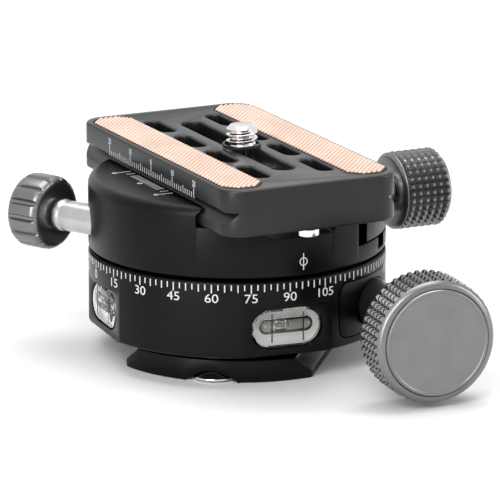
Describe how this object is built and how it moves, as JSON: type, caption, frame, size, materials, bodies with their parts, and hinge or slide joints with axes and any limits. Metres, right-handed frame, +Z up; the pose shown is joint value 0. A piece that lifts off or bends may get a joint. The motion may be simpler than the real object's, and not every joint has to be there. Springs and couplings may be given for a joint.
{
  "type": "geared tripod head",
  "caption": "Compact geared panning base for a tripod, with a worm drive, degree ring, bubble levels, dovetail clamp and quick release plate.",
  "frame": {"origin": "on the pan axis, at the underside of the foot, where the tripod's stud enters", "axes": "+Z up along the pan axis, -Y towards the gear knob, -X towards the 0 mark of the degree ring"},
  "size_m": [0.0903, 0.0919, 0.0469],
  "materials": {
    "black_anodised": "satin black anodised",
    "plate_anodised": "satin dark grey anodised",
    "knob_grey": "titanium grey anodised",
    "satin_steel": "satin turned metal",
    "chrome": "polished",
    "brass": "machined",
    "bronze": "sintered",
    "grip_rubber": "copper brown woven relief",
    "clear_acrylic": "clear"
  },
  "bodies": {
    "base": {"base_housing": "black_anodised", "foot_plate": "black_anodised", "foot_screw_1": "chrome", "foot_screw_2": "chrome", "foot_screw_3": "chrome", "foot_screw_4": "chrome", "foot_stop_screw_near": "chrome", "foot_stop_screw_far": "chrome", "thread_insert": "satin_steel", "worm_carrier": "black_anodised", "carrier_screw": "satin_steel", "worm_bush_front": "bronze", "worm_bush_rear": "bronze", "level_vial_left": "clear_acrylic", "level_vial_front": "clear_acrylic", "pan_bush": "bronze"},
    "turntable": {"worm_wheel": "brass", "retaining_nut": "satin_steel", "pivot_bolt": "satin_steel"},
    "worm": {"worm_shaft": "satin_steel", "gear_knob": "knob_grey", "gear_knob_cap": "satin_steel", "knob_set_screw": "satin_steel"},
    "rotor": {"rotor_body": "black_anodised", "pivot_washer": "satin_steel", "jaw_guide_pin_near": "satin_steel", "jaw_guide_pin_far": "satin_steel", "jaw_spring_near": "satin_steel", "jaw_spring_far": "satin_steel", "lock_bush": "bronze"},
    "cotter": {"lock_cotter": "brass"},
    "lock": {"lock_screw": "satin_steel", "lock_knob": "knob_grey"},
    "jaw": {"moving_jaw": "black_anodised", "clamp_washer": "brass"},
    "clamp": {"clamp_screw": "satin_steel", "clamp_knob": "knob_grey"},
    "plate": {"quick_release_plate": "plate_anodised", "grip_strip_left": "grip_rubber", "grip_strip_right": "grip_rubber", "plate_stop_screw_near": "chrome", "plate_stop_screw_far": "chrome"},
    "screw_carriage": {"screw_clip": "black_anodised"},
    "camera_screw": {"camera_screw": "chrome"}
  },
  "joints": [
    {"name": "fine_pan", "type": "hinge", "parent": "base", "child": "turntable", "pos_m": [0, 0, 0.012], "axis": [0, 0, 1], "range_deg": [-90, 45]},
    {"name": "worm_turn", "type": "hinge", "parent": "base", "child": "worm", "pos_m": [0.021, 0, 0.0136], "axis": [0, -1, 0], "range_deg": [-3601, 1801]},
    {"name": "free_pan", "type": "hinge", "parent": "turntable", "child": "rotor", "pos_m": [0, 0, 0.026], "axis": [0, 0, 1], "range_deg": [-95, 65]},
    {"name": "lock_slide", "type": "slide", "parent": "rotor", "child": "cotter", "axis": [0.5499, -0.8352, 0], "range_m": [0, 0.0008]},
    {"name": "lock_turn", "type": "hinge", "parent": "cotter", "child": "lock", "pos_m": [-0.01587, -0.01045, 0.0276], "axis": [0.5499, -0.8352, 0], "range_deg": [0, 289]},
    {"name": "jaw_slide", "type": "slide", "parent": "rotor", "child": "jaw", "axis": [0.9956, 0.0934, 0], "range_m": [0, 0.0035]},
    {"name": "clamp_turn", "type": "hinge", "parent": "jaw", "child": "clamp", "pos_m": [0, 0, 0.0293], "axis": [0.9956, 0.0934, 0], "range_deg": [0, 1261]},
    {"name": "plate_slide", "type": "slide", "parent": "rotor", "child": "plate", "axis": [-0.0934, 0.9956, 0], "range_m": [-0.02, 0.02]},
    {"name": "camera_screw_slide", "type": "slide", "parent": "plate", "child": "screw_carriage", "axis": [-0.0934, 0.9956, 0], "range_m": [-0.0188, 0.0232]},
    {"name": "camera_screw_turn", "type": "hinge", "parent": "screw_carriage", "child": "camera_screw", "pos_m": [0.00021, -0.00219, 0.0425], "axis": [0, 0, 1], "continuous": true}
  ],
  "couplings": [
    {"joint": "worm_turn", "follows": "fine_pan", "ratio": 40},
    {"joint": "lock_turn", "follows": "lock_slide", "rad_per_m": 6283.2},
    {"joint": "clamp_turn", "follows": "jaw_slide", "rad_per_m": 6283.2}
  ]
}
